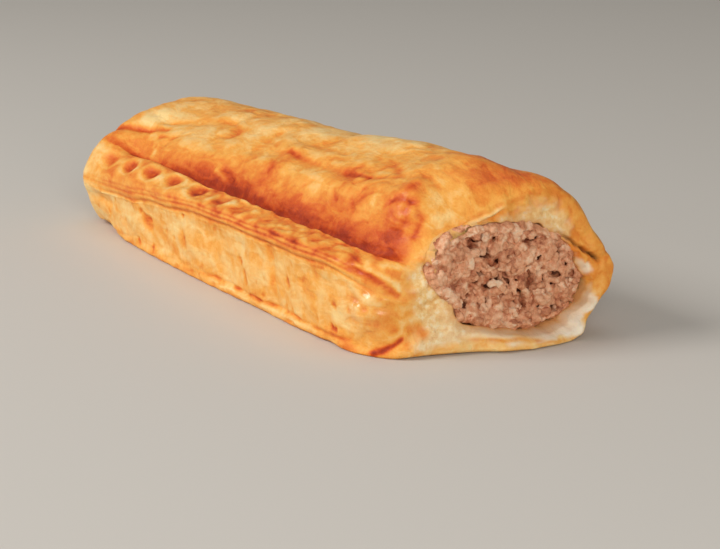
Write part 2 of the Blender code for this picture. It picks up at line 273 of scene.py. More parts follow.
# Which parts of the outline are which, as shares that fade into one another.
top_share = share_by(((10.6, 0.0), (11.6, 1.0), (15.5, 1.0), (16.3, 0.0)), corner)
side_share = share_by(((2.2, 0.0), (3.0, 1.0), (5.2, 1.0), (5.8, 0.0), (15.8, 0.0), (16.4, 1.0), (17.4, 1.0), (18.0, 0.0)), corner)
flange_share = share_by(((6.1, 0.0), (6.7, 1.0), (8.9, 1.0), (9.5, 0.0)), corner)
seam_share = share_by(((2.0, 0.0), (2.6, 1.0), (9.4, 1.0), (9.8, 0.0)), corner)

# Dimples pressed into the seam: six wide apart from the baked end, then nine close together.
DIMPLE_RUNS = ((-59.8, 11.4, 6), (6.4, 6.3, 9))
DIMPLE_RADIUS = (3.0, 2.1)
DIMPLE_DEPTH = (1.7, 0.5)
dimple_x = np.concatenate([first + pitch * np.arange(count) for first, pitch, count in DIMPLE_RUNS])
dimple_side, _, _, dimple_seam, _, dimple_face, _, _ = smooth_stations(dimple_x).T
dimple_centres = np.column_stack((dimple_x, -dimple_side + 2.2, dimple_seam + 0.76 * dimple_face))
dimple_along = (dimple_x - dimple_x[0]) / (BITTEN_END - dimple_x[0])
dimple_radius = DIMPLE_RADIUS[0] + (DIMPLE_RADIUS[1] - DIMPLE_RADIUS[0]) * dimple_along
dimple_depth = DIMPLE_DEPTH[0] + (DIMPLE_DEPTH[1] - DIMPLE_DEPTH[0]) * dimple_along

# Hollows and folds in the crust: the path, half-width, depth, and how much darker the wash has baked there.
FOLDS = (
    (((-70.8, -15.6, 20.2), (-58.9, -11.5, 22.8)), 1.6, 0.8, 0.16),
    (((-58.9, -8.7, 23.7), (-35.0, -2.8, 27.0)), 1.5, 0.5, 0.1),
    (((-47.8, -13.3, 21.2), (-45.8, -9.1, 23.4)), 1.3, 0.5, 0.1),
    (((-13.2, -8.6, 25.2), (27.6, -8.6, 27.3)), 1.8, 0.5, 0.05),
    (((-3.7, -3.4, 28.5), (49.7, 1.7, 31.6)), 2.2, 0.4, 0.08),
    (((4.9, -1.8, 28.5), (3.9, 12.0, 30.0)), 2.4, 0.7, 0.12),
    (((-73.6, -22.1, 7.9), (-76.4, 0.0, 8.6)), 1.6, 1.2, 0.12),
    (((-76.4, 0.0, 8.6), (-73.6, 22.1, 8.3)), 1.6, 1.2, 0.12),
    (((-73.6, -22.1, 7.9), (-56.1, -23.5, 7.3)), 1.3, 0.6, 0.15),
    (((-36.8, -23.7, 7.2), (-34.0, -23.3, 6.4)), 1.2, 0.7, 0.35),
    (((-16.9, -24.1, 8.5), (-16.2, -24.1, 6.8)), 1.3, 0.6, 0.25),
    (((22.4, -23.5, 13.8), (22.4, -23.6, 7.4)), 1.3, 0.5, 0.1),
    (((57.5, -18.9, 0.9), (61.6, -12.4, 4.8)), 1.4, 0.8, 0.1),
    (((-69.0, -14.8, 21.2), (-64.0, -13.2, 21.9), (-59.4, -11.6, 22.0), (-52.6, -10.3, 23.0)), 0.9, 0.5, 0.42),
    (((-55.7, -7.8, 24.1), (-47.4, -3.9, 25.5), (-36.0, -2.7, 27.0), (-30.2, -4.0, 26.6)), 0.6, 0.3, 0.24),
    (((4.6, -0.4, 29.0), (7.1, 2.4, 30.2)), 0.5, 0.3, 0.3),
    (((8.0, -23.6, 8.8), (9.4, -23.6, 8.2)), 0.5, 0.3, 0.3),
    (((10.6, -23.6, 6.4), (11.4, -23.6, 4.6)), 0.8, 0.4, 0.3),
    # This ridge along the side blister is painted paler, a painted highlight along it.
    (((50.0, -22.6, 11.0), (54.0, -21.2, 10.9), (57.2, -19.2, 9.3)), 0.7, -0.6, -0.1),
    (((-52.2, -12.5, 21.7), (-46.6, -11.5, 22.4), (-42.2, -9.9, 23.8)), 0.6, 0.3, 0.3),
    (((-1.1, -7.0, 27.2), (4.3, -7.6, 26.8), (15.3, -7.9, 27.0), (23.8, -8.1, 27.4), (33.7, -8.3, 28.2), (42.1, -6.7, 29.4), (50.5, -3.7, 30.1)), 0.7, 0.4, 0.3),
    (((-3.7, -3.4, 28.5), (8.0, -3.4, 29.0), (16.0, -3.6, 29.5)), 0.7, 0.25, 0.12),
    (((14.6, -13.2, 23.2), (18.9, -11.0, 25.2), (21.5, -9.0, 26.6)), 0.5, 0.25, 0.16),
    (((26.2, -11.7, 24.6), (28.6, -12.8, 23.3)), 0.6, 0.25, 0.2),
    (((33.4, -12.5, 24.6), (36.6, -13.4, 23.0)), 0.6, 0.25, 0.2),
    (((55.9, -20.2, 0.7), (58.6, -17.9, 2.4), (60.6, -15.5, 4.2)), 0.6, 0.6, 0.2),
    (((-38.5, -24.0, 10.6), (-36.0, -24.0, 8.2), (-34.0, -23.8, 7.8)), 0.5, 0.6, 0.3),
    (((-20.0, -14.6, 20.6), (-17.0, -15.0, 20.0), (-12.0, -16.2, 19.4), (-6.5, -18.4, 19.0)), 0.45, -0.4, -0.26),
    (((-17.5, -14.0, 20.6), (-12.0, -15.2, 20.0)), 0.8, 0.4, 0.25),
    (((42.0, -23.3, 16.6), (51.2, -22.5, 15.9), (54.5, -20.4, 15.3), (57.3, -18.7, 13.6), (59.6, -16.9, 11.5)), 0.5, 0.4, 0.2),
    (((46.5, -12.6, 25.6), (49.0, -10.8, 27.0), (52.8, -9.2, 26.6), (55.4, -9.8, 24.2), (55.2, -11.6, 21.4)), 0.6, 0.45, 0.34),
)
# Blisters and bumps: centre, radius, height, and how much darker they have baked.
BUMPS = (
    ((-18.4, 4.6, 29.4), 8.3, 0.6, 0.0),
    ((52.2, -11.4, 24.1), 5.2, 1.3, 0.2),
    ((49.7, -7.9, 28.5), 2.6, 0.7, 0.2),
    ((54.9, -20.8, 8.2), 4.6, 1.9, 0.02),
    ((22.1, 14.7, 28.5), 10.1, 0.6, 0.0),
    ((-41.4, 13.8, 24.8), 11.0, 0.6, 0.0),
    ((36.8, 24.8, 12.9), 10.1, 0.8, 0.0),
    ((-11.0, 24.8, 12.0), 11.0, 0.7, 0.0),
    ((31.3, -23.9, 8.3), 6.4, 0.6, 0.0),
    ((-53.4, -23.0, 11.0), 7.4, 0.5, 0.0),
)
# Patches that baked paler or browner, and painted shade on the top by the bite: centre, radius and how much.
PATCHES_AND_SHADE = (
    ((-62.5, -9.8, 24.0), 4.0, -0.3), ((-50.0, 0.0, 26.5), 9.0, 0.14), ((-45.0, -9.0, 24.0), 6.0, 0.06),
    ((-33.0, -12.0, 23.0), 7.0, -0.06), ((-34.0, 1.9, 28.3), 5.0, -0.08), ((-18.9, 2.9, 29.6), 4.0, -0.14),
    ((-21.0, -5.9, 26.4), 3.5, -0.12), ((-29.1, -5.0, 26.2), 2.2, 0.16), ((-9.5, 2.6, 29.7), 2.5, 0.12),
    ((-49.4, -15.1, 19.1), 1.0, -0.35), ((-19.1, -15.7, 18.5), 1.6, 0.1), ((-25.7, -10.3, 24.1), 5.0, -0.02),
    ((-22.0, -14.0, 21.1), 6.0, -0.02), ((-6.0, -11.0, 24.4), 4.0, -0.16), ((5.2, -11.5, 24.3), 4.0, -0.12),
    ((-2.0, -13.8, 22.3), 3.5, 0.1), ((2.0, -7.0, 27.2), 4.0, 0.1), ((14.9, -9.3, 26.2), 3.0, -0.14),
    ((19.9, -12.7, 23.5), 4.0, -0.12), ((27.0, -8.4, 27.4), 4.0, 0.14), ((16.1, 2.9, 31.3), 6.0, -0.12),
    ((26.0, -1.8, 30.5), 5.0, -0.14), ((41.5, -12.7, 24.4), 3.4, -0.22), ((55.6, -5.5, 27.1), 4.5, -0.24),
    # The last patch on this line and the first two on the next are painted shade: the top by the bite darkened where
    # less light falls.
    ((50.5, -8.4, 29.5), 1.2, 0.3), ((58.2, -18.4, 8.4), 3.0, 0.1), ((40.0, -20.0, 18.0), 9.0, 0.06), ((51.3, -13.3, 21.2), 3.0, 0.12), ((57.0, 3.5, 30.0), 7.0, 0.3),
    ((60.5, 12.0, 28.0), 8.0, 0.36), ((47.0, 9.0, 31.8), 9.0, 0.24), ((61.0, 6.4, 28.6), 0.6, 0.5),
    ((57.6, -18.0, 15.6), 2.2, -0.26), ((58.3, -18.1, 6.8), 2.0, 0.3),
)
relief = 0.8 * noise_at(crust, 14.0)
tone = np.zeros_like(x)
for centre, radius, darker in PATCHES_AND_SHADE:
    tone += darker * np.exp(-((np.linalg.norm(crust - np.array(centre), axis=-1) / radius) ** 2))
for path, half_width, depth, darker in FOLDS:
    nearness = np.exp(-((from_path(crust, path) / half_width) ** 2))
    relief -= depth * nearness
    tone += darker * nearness
for centre, radius, rise, darker in BUMPS:
    nearness = np.exp(-((np.linalg.norm(crust - np.array(centre), axis=-1) / radius) ** 2))
    relief += rise * nearness
    tone += darker * nearness
for centre, radius, depth in zip(dimple_centres, dimple_radius, dimple_depth):
    away = np.linalg.norm(crust - centre, axis=-1) / radius
    nearness = np.exp(-(away ** 4))
    relief -= 0.3 * depth * nearness * flange_share
    pit = np.linalg.norm((crust - centre) / (2.5, 1.3, 1.3), axis=-1)
    wide = ease((8.0 - centre[0]) / 20.0)
    strength = wide * share_by(((-62.0, 0.35), (-50.0, 0.8), (-37.0, 1.0), (-2.0, 0.8)), centre[0])
    relief -= 0.42 * strength * np.exp(-(pit ** 3))
    pit_tone = 0.32 * np.exp(-(((pit - 0.5) / 0.6) ** 2)) - 0.2 * np.exp(-(((pit - 1.8) / 0.4) ** 2))
    tone += flange_share * ((0.3 + 0.7 * strength) * pit_tone)

# Small bubbles where the two blisters by the bite have puffed.
# Each: centre, radius, how high they stand, and how thick the wash lies on them.
BUBBLES = (((52.8, -11.2, 24.8), 3.8, 0.4, 0.14), ((56.3, -20.2, 8.6), 4.4, 0.5, 1.0), ((52.3, -21.7, 9.8), 3.6, 0.45, 1.0))
for centre, radius, rise, _ in BUBBLES:
    nearness = np.exp(-((np.linalg.norm(crust - np.array(centre), axis=-1) / radius) ** 4))
    puffs = noise_at(crust, 1.7, 81.0)
    relief += rise * nearness * puffs
    # Painted highlight and shade: the puffs are painted paler where they rise and darker where they sink.
    tone -= 0.26 * nearness * puffs

warp_small = 0.8 * np.stack([noise_at(crust, 2.6, seed) for seed in (91.0, 93.0, 95.0)], axis=-1)
# Towards the bite the seam's pressed face is beaded with small lumps.
BEAD_SIZE = (5.2, 2.6, 2.6)
bead_share = flange_share * ease((x + 30.0) / 25.0) * ease((61.0 - x) / 4.0)
on_beads = bead_share > 0.0
bead_places = (crust + warp_small)[on_beads] / BEAD_SIZE
nearest_two = np.array([noise.voronoi(place)[0][:2] for place in bead_places.tolist()])
bead = np.zeros_like(x)
bead[on_beads] = np.clip(nearest_two[:, 1] - nearest_two[:, 0], 0.0, 0.45) / 0.45
relief += bead_share * (0.2 * bead ** 0.7 - 0.12)
tone += bead_share * (0.13 - 0.2 * bead + 0.3 * np.clip(noise_at(crust, (4.2, 2.0, 2.0), 85.0), -0.4, 1.0))
# Bigger pale beads stand along the lower half of that face.
BEADS = (
    (-43.6, -22.4, 16.8), (-31.8, -22.3, 17.2), (-18.1, -22.9, 17.2), (-6.4, -22.9, 17.6), (2.8, -22.3, 18.2),
    (11.5, -21.6, 18.2),
    (19.7, -21.0, 18.1), (25.5, -21.2, 18.2), (30.9, -21.2, 18.2), (36.0, -21.4, 18.3), (40.6, -21.6, 18.4),
    (45.0, -21.3, 18.2), (48.8, -21.1, 17.8), (52.5, -19.5, 17.5), (55.6, -17.9, 17.0), (58.5, -16.2, 16.9),
)
for centre in BEADS:
    nearness = np.exp(-(np.linalg.norm((crust - centre) / (1.6, 1.1, 1.1), axis=-1) ** 3))
    relief += 0.22 * nearness
    tone -= 0.22 * nearness

# Wrinkles over the top, drawn out along the roll, with the wash gathered in their creases.
warp = 2.6 * np.stack([noise_at(crust, 8.0, seed) for seed in (31.0, 47.0, 63.0)], axis=-1)
creases = (1.0 - np.abs(noise_at(crust + warp, (15.0, 4.6, 5.5), 2.0))) ** 7
creases += 0.6 * (1.0 - np.abs(noise_at(crust + 0.6 * warp, (6.5, 2.3, 3.0), 8.0))) ** 8
patches = noise_at(crust, (20.0, 9.0, 9.0), 12.0)
top_creases = creases * top_share * np.clip(0.5 + 1.2 * patches, 0.1, 1.1)
relief -= 0.34 * top_creases
tone += 0.22 * top_creases + 0.1 * patches * top_share - 0.05 * top_share
relief += 0.3 * top_share * noise_at(crust + warp, (7.0, 3.2, 4.0), 14.0)

# Upright wrinkles and shallow puckers on the sides.
puckers = noise_at(crust + 0.5 * warp, (1.9, 3.0, 5.0), 17.0)
pucker_share = side_share * share_by(((-10.0, 0.35), (14.0, 1.0), (45.0, 1.0), (56.0, 0.4)), x)
mottle = noise_at(crust + 0.5 * warp, (6.0, 6.0, 4.0), 23.0)
relief += 0.15 * pucker_share * puckers + 0.35 * side_share * noise_at(crust, 3.8, 19.0)
tone += 0.1 * pucker_share * np.clip(-puckers, 0.0, 1.0) + 0.15 * side_share * mottle
tone += 0.12 * side_share * np.clip(noise_at(crust + warp_small, 2.2, 87.0) - 0.1, 0.0, 1.0)
pits = np.clip(noise_at(crust, 2.3, 27.0) - 0.42, 0.0, 1.0) * side_share
relief -= 1.0 * pits
tone += 1.3 * pits

# The seam's cut edge shows the dough's layers as fine lines along the roll, stronger towards the bite.
LAYER_LINES = (
    (-2.2, 0.26, 0.14, 0.1), (-1.1, 0.24, 0.2, 0.22), (-0.7, 0.3, 0.0, 0.34), (-0.1, 0.26, -0.1, 0.0),
    (0.5, 0.24, 0.2, 0.34),
    (1.4, 0.24, 0.16, 0.26),
)
layers_share = share_by(((-70.0, 0.0), (-56.0, 0.6), (10.0, 0.75), (40.0, 0.7), (52.0, 0.4), (60.0, 0.1)), x)
wander = 0.35 * noise_at(crust, (9.0, 50.0, 50.0), 33.0)
for place_round, half_width, depth, darker in LAYER_LINES:
    nearness = np.exp(-(((from_lip - place_round - wander) / half_width) ** 2)) * (corner < 9.0) * (corner > 3.5)
    relief -= depth * nearness * layers_share
    tone += darker * nearness * layers_share

# Under the lip the fold has filled out, so that the lip hardly overhangs it.
relief += 0.75 * np.exp(-(((corner - 5.05) / 0.45) ** 2)) * ease((x + 70.0) / 12.0)

# The flange's inner edge stands up over the valley, with a ragged line.
ragged = 0.14 * noise_at(crust, (3.2, 40.0, 40.0), 41.0) + 0.04 * noise_at(crust, (1.1, 40.0, 40.0), 43.0)
edge_corner = share_by(((-66.0, 9.6), (-14.0, 9.5), (-2.0, 8.85), (62.0, 8.75)), x) + ragged
over_edge = ease((corner - edge_corner) / 0.14) * (corner < 12.0)
edge_strength = share_by(((-64.0, 0.0), (-48.0, 0.6), (-20.0, 1.0), (52.0, 1.0), (60.0, 0.3)), x)
relief -= 0.6 * edge_strength * over_edge * share_by(((9.5, 1.0), (10.5, 0.0)), corner)
relief -= 0.45 * share_by(((7.8, 0.0), (8.5, 1.0), (9.6, 1.0), (10.4, 0.0)), corner) * ease((x + 60.0) / 40.0)
relief += flange_share * 0.2 * noise_at(crust, (5.2, 2.6, 2.2), 37.0)
tone += flange_share * (0.14 * noise_at(crust, (5.0, 2.8, 2.8), 39.0) + share_by(((-72.0, -0.2), (-64.0, -0.12), (-56.0, 0.04), (-25.0, 0.06), (5.0, 0.0), (20.0, 0.06), (44.0, 0.06), (50.0, 0.1), (55.0, 0.02), (60.0, 0.0)), x))

# The wash lies thick and glossy on the blisters and in the valley.
glaze = share_by(((6.2, 0.0), (6.8, 0.12), (8.8, 0.12), (9.4, 0.0), (10.6, 0.0), (12.0, 0.1), (16.0, 0.08), (18.0, 0.0)), corner)
for centre, radius, _, wash in BUBBLES:
    glaze = np.maximum(glaze, wash * np.exp(-((np.linalg.norm(crust - np.array(centre), axis=-1) / (radius + 1.0)) ** 4)))
glaze *= ease((before_rim - 1.5) / 3.5)

# How brown the crust is at each corner of its outline, from 0, barely baked, to 1, dark red-brown.
BROWNING = (
    (0.0, 0.42), (1.8, 0.4), (2.3, 0.34), (2.8, 0.22), (3.4, 0.16), (4.6, 0.16), (5.2, 0.2), (5.7, 0.26), (6.0, 0.34),
    (6.6, 0.34), (7.6, 0.38), (8.6, 0.4), (9.3, 0.42),
)
VALLEY_BROWNING = (
    (8.5, 0.82), (9.7, 0.92), (10.1, 0.9), (10.4, 0.8), (10.7, 0.67), (11.0, 0.56), (11.3, 0.48), (11.7, 0.39),
    (12.1, 0.3), (12.6, 0.22), (13.0, 0.2), (14.4, 0.23), (15.4, 0.2), (16.2, 0.18), (17.2, 0.26), (18.0, 0.4), (19.0, 0.5),
)
BACK_BROWNING = ((9.3, 0.46), (10.2, 0.42), (11.5, 0.3), (12.5, 0.26), (13.0, 0.25), (19.0, 0.25))
valley_share = share_by(((-70.0, 0.0), (-60.0, 0.6), (-40.0, 0.95), (20.0, 1.0), (30.0, 0.86), (40.0, 1.0), (46.0, 0.85), (52.0, 0.5), (58.5, 0.2)), x)
# Towards the baked end the dark band is narrower.
squeeze = share_by(((-62.0, 0.9), (-50.0, 0.75), (-28.0, 0.0)), x) * ease((corner - 9.8) / 0.5)
in_valley = share_by(VALLEY_BROWNING, corner + squeeze)
in_valley = np.where(
    corner < 12.9, in_valley * valley_share + share_by(BACK_BROWNING, corner) * (1.0 - valley_share), in_valley
)
browning = np.where(corner < edge_corner, share_by(BROWNING, corner), in_valley)
grain = 0.06 * noise_at(crust, 3.0, 7.0) + 0.05 * noise_at(crust, 1.3, 57.0)
baked_end_share = share_by(((-72.0, 1.0), (-60.0, 0.0)), x) * (corner < 9.6)
bottom_share = ease(1.0 - before_rim / 14.0) * share_by(((1.5, 1.0), (2.6, 0.0), (16.8, 0.0), (17.6, 1.0)), corner)
tone -= 0.1 * baked_end_share + 0.3 * bottom_share
browning = browning + tone + grain + 0.08 * noise_at(crust, (16.0, 6.0, 6.0), 3.0)

# The crust turns in softly to the torn rim, most on the seam's side.
RIM_ROUNDING = ((0.0, 0.4), (130.0, 0.5), (165.0, 1.3), (215.0, 1.3), (250.0, 0.5), (360.0, 0.4))
near_rim = ease(1.0 - before_rim / 4.0)
relief -= share_by(RIM_ROUNDING, bite_direction) * near_rim ** 2
relief += 0.35 * near_rim * noise_at(crust, 3.0, 51.0)

base_fade = ease(crust[..., 2] / 3.7)
relief *= base_fade
# The base's edge is flaky on the seam's side.
heel = np.exp(-(((crust[..., 2] - 1.5) / 1.1) ** 2)) * (np.abs(crust[..., 1]) > 12.0)
frayed = np.clip(noise_at(crust, (3.4, 6.0, 1.0), 45.0) + 0.25, 0.0, 1.0)
relief += 0.6 * heel * frayed
browning += heel * 0.2 * np.clip(noise_at(crust, (3.0, 4.0, 1.2), 49.0) + 0.2, 0.0, 1.0)
# Between its middle and the bite, a thin flake of it stands off along the floor.
flake = share_by(((-8.0, 0.0), (-2.0, 1.0), (32.0, 1.0), (38.0, 0.5), (48.0, 0.5), (53.0, 0.0)), plain_crust[..., 0]) * (crust[..., 1] < -10.0)
flake_line = 1.5 + 0.5 * noise_at(plain_crust, (5.0, 60.0, 60.0), 97.0)
flake_out = np.exp(-(((crust[..., 2] - flake_line + 0.35) / 0.4) ** 2))
flake_in = np.exp(-(((crust[..., 2] - flake_line - 0.6) / 0.38) ** 2))
torn_off = 0.7 + 1.2 * noise_at(plain_crust, (2.6, 60.0, 60.0), 99.0) + 0.8 * noise_at(plain_crust, (1.0, 60.0, 4.0), 105.0)
torn_off = np.clip(torn_off, 0.0, 1.4)
relief += flake * (0.44 * flake_out * torn_off - 0.4 * flake_in)
browning += flake * 0.3 * np.clip(0.5 - torn_off, 0.0, 0.5) * (flake_out + flake_in)
# Painted shade: the groove above the flake is darkened in broken patches.
broken = np.clip(0.5 + 1.6 * noise_at(plain_crust, (3.4, 60.0, 60.0), 103.0), 0.0, 1.2)
browning += flake * (0.42 * broken * flake_in - 0.16 * flake_out)


def outwards_of(rows):
    """The direction square to a surface at each of its points, from its neighbours along and around."""
    along_run = np.gradient(rows, axis=0)
    round_run = np.roll(rows, -1, axis=1) - np.roll(rows, 1, axis=1)
    outwards = np.cross(along_run, round_run)
    return outwards / np.maximum(np.linalg.norm(outwards, axis=-1, keepdims=True), 1e-9)


crust = crust + outwards_of(crust) * relief[..., None]
crust[..., 2] = np.maximum(crust[..., 2], 0.0)

# The torn dough between the crust's rim and the meat: rows across it, with ridges where its layers parted.
TORN_ROWS = 34
TORN_PROFILE = ((0.0, 0.0), (0.22, -0.06), (0.5, 0.04), (0.8, 0.3), (1.0, 1.0))
rim = crust[-1]
rim_direction = np.degrees(np.arctan2(rings[-1, :, 1] - BITE_MIDDLE[1], rings[-1, :, 0] - BITE_MIDDLE[0]))
inner = np.column_stack((np.full(len(rim), DOUGH_EDGE), core_outline(DOUGH_EDGE, rim_direction)))
frayed_edge = 1.0 - (0.035 + 0.05 * noise_at(inner, 2.6, 73.0) + 0.03 * noise_at(inner, 1.1, 75.0))[:, None]
inner[:, 1:] = np.array(BITE_MIDDLE) + (inner[:, 1:] - np.array(BITE_MIDDLE)) * frayed_edge
across = np.linspace(0.0, 1.0, TORN_ROWS + 1)[1:]
back = share_by(TORN_PROFILE, across)
torn = rim + (inner - rim) * across[:, None, None]
torn[..., 0] = rim[:, 0] + (inner[:, 0] - rim[:, 0]) * back[:, None]
band_width = np.linalg.norm((inner - rim)[:, 1:], axis=-1)
inwards = across[:, None] * band_width
torn_fade = (np.sin(np.clip(across, 0.02, 0.98) * math.pi) ** 0.5)[:, None]
flat_torn = torn * np.array((0.0, 1.0, 1.0))
layers = np.sin(2.0 * math.pi * (inwards / 1.9 + 0.9 * noise_at(flat_torn, 7.0, 71.0)))
torn[..., 0] += torn_fade * (
    0.9 * noise_at(flat_torn, 3.7, 5.0) + 0.55 * noise_at(flat_torn, 1.9, 9.0) + 0.06 * layers
)
# Over the meat, on the seam's side, the crust's edge curls up in a thin ridge of pale dough, with a painted highlight
# along it.
curled = share_by(((92.0, 0.0), (104.0, 1.0), (140.0, 1.0), (152.0, 0.0)), rim_direction % 360.0)
curl = curled * np.exp(-(((inwards - 0.9 - 0.3 * noise_at(torn, 4.0, 55.0)) / 0.32) ** 2))
# A crack runs out from the meat under the upper flap, on the plain side; its darkness is painted shade.
CRACK = ((0.0, 16.0, 20.2), (0.0, 18.0, 18.9), (0.0, 20.3, 17.2), (0.0, 24.3, 14.4))
wiggle = 0.3 * np.stack([noise_at(flat_torn, 1.5, seed) for seed in (113.0, 115.0, 117.0)], axis=-1)
crack = np.exp(-((from_path(flat_torn + wiggle, CRACK) / 0.3) ** 2))
torn[..., 0] -= 1.7 * crack * torn_fade

# The rim's edge is soft, most of all on the seam's side, where the crust turns in over several millimetres.
SOFT_ROWS = 18
SOFT_PASSES = 70
SOFTNESS = ((0.0, 0.15), (120.0, 0.2), (150.0, 0.7), (175.0, 1.0), (235.0, 1.0), (262.0, 0.4), (290.0, 0.2), (360.0, 0.15))
profile = np.concatenate((crust[-SOFT_ROWS:], torn))
pull = 0.5 * np.exp(-(((np.arange(len(profile)) - SOFT_ROWS) / 8.0) ** 2))[:, None] * share_by(SOFTNESS, rim_direction % 360.0)
for _ in range(SOFT_PASSES):
    profile[1:-1] += pull[1:-1, :, None] * (0.5 * (profile[:-2] + profile[2:]) - profile[1:-1])
crust[-SOFT_ROWS:] = profile[:SOFT_ROWS]
torn = profile[SOFT_ROWS:]
# The torn dough is crumbly, most of all below the meat.
crumbly = share_by(((0.0, 0.5), (150.0, 0.4), (195.0, 0.5), (225.0, 1.0), (335.0, 1.0), (355.0, 0.5)), rim_direction % 360.0)
crumbs = 0.42 * noise_at(flat_torn, 1.4, 59.0) + 0.3 * noise_at(flat_torn, 2.6, 53.0) + 0.22 * noise_at(flat_torn, 0.8, 111.0)
torn[..., 0] += crumbly * torn_fade * crumbs + 0.55 * curl

# Where the baked skin gives way to pale dough: direction round the bite, and distance in from the rim.
SKIN_EDGE = (
    (0.0, 5.4), (14.0, 7.0), (28.0, 5.0), (45.0, 3.6), (75.0, 3.2), (100.0, 2.6), (120.0, 1.8), (138.0, 1.2), (155.0, 0.8),
    (180.0, 1.6), (200.0, 2.4), (213.0, 2.8), (226.0, 4.0), (240.0, 3.0), (255.0, 2.2), (275.0, 2.0), (292.0, 1.4),
    (306.0, 1.0), (320.0, 0.7), (338.0, 0.6), (346.0, 3.4), (352.0, 5.0), (360.0, 5.4),
)
rim_way = rim_direction % 360.0
skin_edge = share_by(SKIN_EDGE, rim_way)
EDGE_WIDTH = ((0.0, 1.3), (14.0, 1.6), (30.0, 4.2), (80.0, 4.2), (110.0, 1.6), (150.0, 3.2), (215.0, 3.2), (245.0, 1.6), (300.0, 1.3), (360.0, 1.3))
crust_torn = -before_rim - share_by(SKIN_EDGE, bite_direction)
crust_torn += 1.2 * noise_at(plain_crust, 2.4, 61.0) + 0.7 * noise_at(plain_crust, 1.0, 109.0)
crust_torn = ease(crust_torn / share_by(EDGE_WIDTH, bite_direction) + 0.5)
torn_torn = inwards - skin_edge + 1.2 * noise_at(torn, 2.4, 61.0) + 0.7 * noise_at(torn, 1.0, 109.0)
torn_torn = ease(torn_torn / share_by(EDGE_WIDTH, rim_way) + 0.5)
LEAST_BROWN = ((0.0, 0.38), (60.0, 0.34), (90.0, 0.2), (180.0, 0.12), (240.0, 0.06), (320.0, 0.04), (345.0, 0.3), (360.0, 0.38))
MOST_BROWN = ((0.0, 0.42), (60.0, 0.4), (90.0, 0.34), (225.0, 0.26), (250.0, 0.08), (300.0, 0.08), (340.0, 0.34), (360.0, 0.42))
held = np.clip(browning, share_by(LEAST_BROWN, bite_direction), share_by(MOST_BROWN, bite_direction))
rim_blend = ease(1.0 - before_rim / 4.5)
browning = browning * (1.0 - rim_blend) + held * rim_blend
torn_browning = np.repeat(browning[-1:], TORN_ROWS, axis=0) + 0.12 * noise_at(torn, 1.6, 65.0)
# Browned folds that run in over the rim: path, half-width and how brown they are.
OVER_RIM = (
    (((57.9, -18.4, 8.3), (58.7, -17.8, 6.9), (58.9, -17.7, 5.2)), 0.9, 0.47),
    (((60.4, -15.4, 5.2), (60.5, -13.1, 5.9), (60.7, -12.6, 4.6)), 1.2, 0.42),
    (((55.9, -20.2, 0.7), (57.2, -19.0, 1.4), (58.6, -17.9, 2.4), (60.0, -17.1, 3.5), (60.6, -15.5, 4.2)), 0.56, 0.86),
    (((54.8, -20.0, 16.0), (57.1, -18.5, 15.1), (58.9, -17.5, 14.0), (59.8, -16.1, 12.6)), 0.7, 0.02),
    (((51.2, -22.5, 15.9), (54.5, -20.4, 15.3), (57.3, -18.7, 13.6), (59.6, -16.9, 11.5)), 0.6, 0.72),
    (((54.3, -20.9, 14.1), (55.7, -19.8, 12.7), (57.2, -18.6, 11.4), (58.9, -17.3, 9.9)), 0.42, 0.6),
    (((57.6, -17.8, 16.2), (60.0, -15.8, 14.8)), 1.0, 0.5),
    (((61.0, 26.2, 9.6), (61.0, 25.4, 10.0)), 0.7, 0.6),
    (((61.0, 23.6, 12.4), (61.0, 25.2, 11.0)), 0.5, 0.56),
)
for path, half_width, brownness in OVER_RIM:
    for rows, share, tones in ((plain_crust, crust_torn, browning), (torn, torn_torn, torn_browning)):
        away = from_path(rows * (0.6, 1.0, 1.0), np.array(path) * (0.6, 1.0, 1.0))
        nearness = np.exp(-((away / half_width) ** 3))
        share *= 1.0 - nearness
        tones += nearness * (brownness - tones)
# Below the meat the skin ends in a golden line.
golden = share_by(((222.0, 0.0), (240.0, 1.0), (300.0, 1.0), (318.0, 0.0)), rim_way)
golden = golden * np.exp(-(((inwards - skin_edge + 0.2 - 0.8 * noise_at(flat_torn, 4.0, 107.0)) / 0.42) ** 2))
torn_torn *= 1.0 - 0.85 * golden
torn_browning += 0.24 * golden
# The curl is paler: less browning as a painted highlight, and the dough's own pale colour.
torn_browning -= 0.25 * curl
torn_torn = np.maximum(torn_torn, 0.8 * curl)
browning = np.minimum(browning, 0.86)

# The dough is whitest on the plain side and below, and yellower by the seam.
PALENESS = ((0.0, 0.8), (12.0, 0.5), (30.0, 0.1), (100.0, 0.0), (190.0, 0.0), (225.0, 0.3), (255.0, 0.7), (290.0, 1.0), (360.0, 0.8))
# It is browner by the meat, where it is soaked, and the crack is darkened with painted shade.
soaked = np.exp(-((band_width - inwards) / 0.9)) + 0.25 * np.clip(noise_at(torn, 1.8, 67.0), 0.0, 1.0)

# The hollow that the meat lies in.
HOLLOW_CLOSE = ((0.92, 1.1), (0.7, 2.0), (0.35, 2.3))
hollow_x = (*np.linspace(DOUGH_EDGE, CORE_BLEND_START, 13)[1:], 0.0, -30.0, MEAT_BAKED_END - 0.35)
hollow = [np.column_stack((np.full(len(rim), x), core_outline(x, rim_direction))) for x in hollow_x]
for size, further in HOLLOW_CLOSE:
    x = MEAT_BAKED_END - 0.35 - further
    hollow.append(np.column_stack((np.full(len(rim), x), core_outline(x, rim_direction, size))))


def closed_shell(rows):
    """Vertices and faces of a closed shell through rows of points, each with as many points as the next."""
    width = len(rows[0])
    points = np.concatenate(rows)
    vertices = np.concatenate((points, (points[:width].mean(axis=0), points[-width:].mean(axis=0))))
    k = np.arange(width)
    j = (k + 1) % width
    faces = []
    for i in range(len(rows) - 1):
        faces += np.stack((i * width + k, (i + 1) * width + k, (i + 1) * width + j, i * width + j), axis=-1).tolist()
    last = (len(rows) - 1) * width
    faces += np.stack((k, j, np.full(width, last + width)), axis=-1).tolist()
    faces += np.stack((last + j, last + k, np.full(width, last + width + 1)), axis=-1).tolist()
    return vertices, faces


